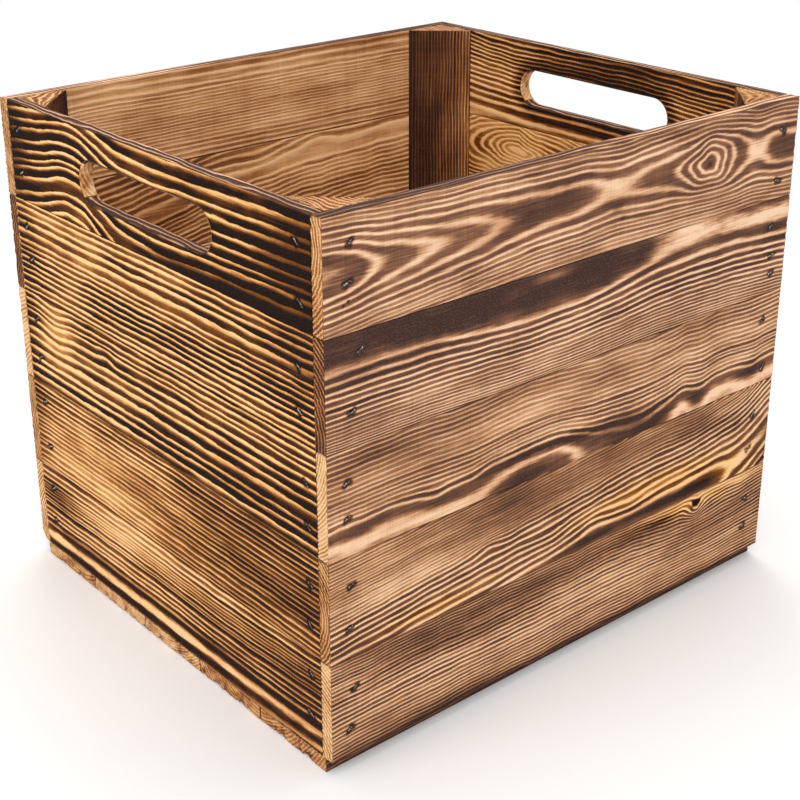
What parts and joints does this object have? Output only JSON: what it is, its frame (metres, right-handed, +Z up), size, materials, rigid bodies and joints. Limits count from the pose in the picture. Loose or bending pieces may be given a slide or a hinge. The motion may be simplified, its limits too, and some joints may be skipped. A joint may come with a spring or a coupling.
{
  "type": "wooden crate",
  "caption": "Open-topped wooden storage crate of flamed boards with a hand hole in each end wall and corner posts inside.",
  "frame": {"origin": "middle of the underside, on the ground", "axes": "+X along the long walls, +Y from the front wall to the back wall, +Z up"},
  "size_m": [0.375, 0.33, 0.325],
  "materials": {
    "long_wall_boards": "flamed and brushed softwood",
    "end_wall_boards": "flamed and brushed softwood, scorched darker",
    "floor_boards": "flamed and brushed softwood",
    "corner_posts": "flamed softwood, bare end grain on top",
    "staples": "galvanised wire"
  },
  "bodies": {
    "root": {"front_board_1": "long_wall_boards", "front_board_2": "long_wall_boards", "front_board_3": "long_wall_boards", "front_board_4": "long_wall_boards", "front_board_5": "long_wall_boards", "back_board_1": "long_wall_boards", "back_board_2": "long_wall_boards", "back_board_3": "long_wall_boards", "back_board_4": "long_wall_boards", "back_board_5": "long_wall_boards", "left_board_1": "end_wall_boards", "left_board_2": "end_wall_boards", "left_board_3": "end_wall_boards", "left_board_4": "end_wall_boards", "left_board_5": "end_wall_boards", "right_board_1": "end_wall_boards", "right_board_2": "end_wall_boards", "right_board_3": "end_wall_boards", "right_board_4": "end_wall_boards", "right_board_5": "end_wall_boards", "floor_board_1": "floor_boards", "floor_board_2": "floor_boards", "floor_board_3": "floor_boards", "floor_board_4": "floor_boards", "floor_board_5": "floor_boards", "corner_post_front_left": "corner_posts", "corner_post_front_right": "corner_posts", "corner_post_back_left": "corner_posts", "corner_post_back_right": "corner_posts", "front_staples": "staples", "back_staples": "staples", "left_staples": "staples", "right_staples": "staples", "floor_staples": "staples"}
  },
  "joints": []
}
